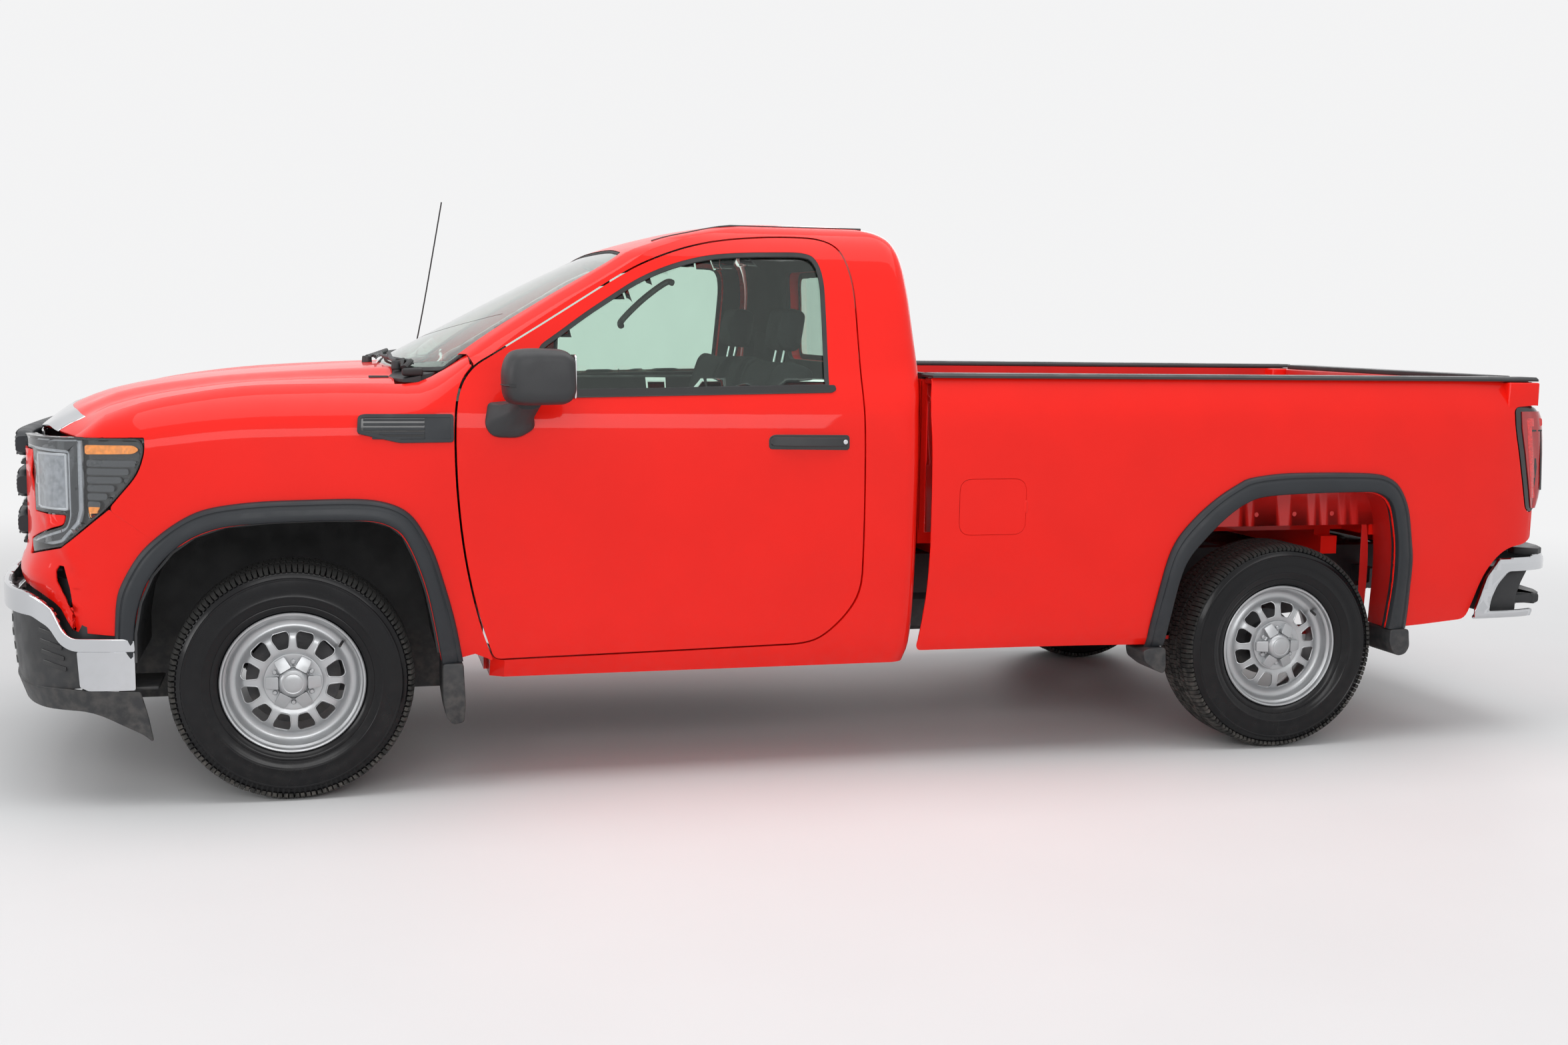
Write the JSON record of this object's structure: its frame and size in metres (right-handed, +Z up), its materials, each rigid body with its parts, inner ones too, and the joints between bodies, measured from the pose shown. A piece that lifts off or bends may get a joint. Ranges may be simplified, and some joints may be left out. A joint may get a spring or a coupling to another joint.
{
  "type": "regular cab pickup truck",
  "caption": "Full-size two-door pickup truck with a long cargo bed, opening doors, hood, tailgate and fuel door, steered front wheels and spinning wheels.",
  "frame": {"origin": "centre of the footprint on the ground plane, under the middle of the overall box", "axes": "+Z up, the truck's front faces -X, its left side faces -Y"},
  "size_m": [5.75, 2.43, 2.0463],
  "materials": {
    "paint": "glossy",
    "chassis": "satin",
    "engine": "cast",
    "steel": "satin",
    "black_plastic": "textured",
    "trim": "matt",
    "glass": "clear, green tint",
    "lamp_clear": "clear",
    "lamp_red": "glossy",
    "chrome": "polished",
    "seat_cloth": "woven",
    "interior": "grained",
    "tyre": "matt",
    "wheel_steel": "silver paint"
  },
  "bodies": {
    "body": {"frame": "chassis", "engine_block": "engine", "driveline": "chassis", "exhaust": "steel", "fuel_tank": "chassis", "spare_wheel": "tyre", "rear_axle": "chassis", "leaf_springs": "chassis", "front_suspension": "chassis", "radiator": "black_plastic", "cab_shell": "paint", "windshield": "glass", "rear_window": "glass", "fenders": "paint", "front_liners": "black_plastic", "front_fascia": "paint", "grille": "trim", "headlamps": "lamp_clear", "front_bumper": "chrome", "air_dam": "black_plastic", "cowl_panel": "black_plastic", "bed_box": "paint", "bedsides": "paint", "rail_caps": "black_plastic", "arch_trims": "trim", "tail_lamps": "lamp_red", "rear_bumper": "chrome", "seats": "seat_cloth", "dashboard": "interior", "antenna": "black_plastic"},
    "door_left": {"door_left": "paint", "door_left_glass": "glass", "door_left_mirror": "black_plastic"},
    "door_right": {"door_right": "paint", "door_right_glass": "glass", "door_right_mirror": "black_plastic"},
    "hood": {"hood": "paint"},
    "tailgate": {"tailgate": "paint"},
    "fuel_door": {"fuel_door": "paint"},
    "steering_wheel": {"steering_wheel": "interior"},
    "knuckle_left": {"knuckle_left": "steel"},
    "knuckle_right": {"knuckle_right": "steel"},
    "wheel_fl": {"tyre_fl": "tyre", "rim_fl": "wheel_steel"},
    "wheel_fr": {"tyre_fr": "tyre", "rim_fr": "wheel_steel"},
    "wheel_rl": {"tyre_rl": "tyre", "rim_rl": "wheel_steel"},
    "wheel_rr": {"tyre_rr": "tyre", "rim_rr": "wheel_steel"}
  },
  "joints": [
    {"name": "door_left_hinge", "type": "hinge", "parent": "body", "child": "door_left", "pos_m": [-1.335, -0.993, 0.9], "axis": [0, 0, -1], "range_deg": [0, 65]},
    {"name": "door_right_hinge", "type": "hinge", "parent": "body", "child": "door_right", "pos_m": [-1.335, 0.993, 0.9], "axis": [0, 0, 1], "range_deg": [0, 65]},
    {"name": "hood_hinge", "type": "hinge", "parent": "body", "child": "hood", "pos_m": [-1.572, 0, 1.325], "axis": [0, 1, 0], "range_deg": [0, 45]},
    {"name": "tailgate_hinge", "type": "hinge", "parent": "body", "child": "tailgate", "pos_m": [2.64, 0, 0.795], "axis": [0, 1, 0], "range_deg": [0, 89]},
    {"name": "fuel_door_hinge", "type": "hinge", "parent": "body", "child": "fuel_door", "pos_m": [0.5815, -1.004, 0.9265], "axis": [0, 0, 1], "range_deg": [0, 85]},
    {"name": "steer_left", "type": "hinge", "parent": "body", "child": "knuckle_left", "pos_m": [-1.92, -0.82, 0.385], "axis": [0, 0, 1], "range_deg": [-32, 32]},
    {"name": "steer_right", "type": "hinge", "parent": "body", "child": "knuckle_right", "pos_m": [-1.92, 0.82, 0.385], "axis": [0, 0, 1], "range_deg": [-32, 32]},
    {"name": "steering_wheel_turn", "type": "hinge", "parent": "body", "child": "steering_wheel", "pos_m": [-1.168, -0.39, 1.155], "axis": [0.9272, 0, 0.3746], "range_deg": [-480, 480]},
    {"name": "wheel_fl_spin", "type": "hinge", "parent": "knuckle_left", "child": "wheel_fl", "pos_m": [-1.92, -0.872, 0.385], "axis": [0, 1, 0], "continuous": true},
    {"name": "wheel_fr_spin", "type": "hinge", "parent": "knuckle_right", "child": "wheel_fr", "pos_m": [-1.92, 0.872, 0.385], "axis": [0, 1, 0], "continuous": true},
    {"name": "wheel_rl_spin", "type": "hinge", "parent": "body", "child": "wheel_rl", "pos_m": [1.625, -0.872, 0.385], "axis": [0, 1, 0], "continuous": true},
    {"name": "wheel_rr_spin", "type": "hinge", "parent": "body", "child": "wheel_rr", "pos_m": [1.625, 0.872, 0.385], "axis": [0, 1, 0], "continuous": true}
  ],
  "couplings": [
    {"joint": "steer_right", "follows": "steer_left", "ratio": 1},
    {"joint": "steering_wheel_turn", "follows": "steer_left", "ratio": 15}
  ]
}
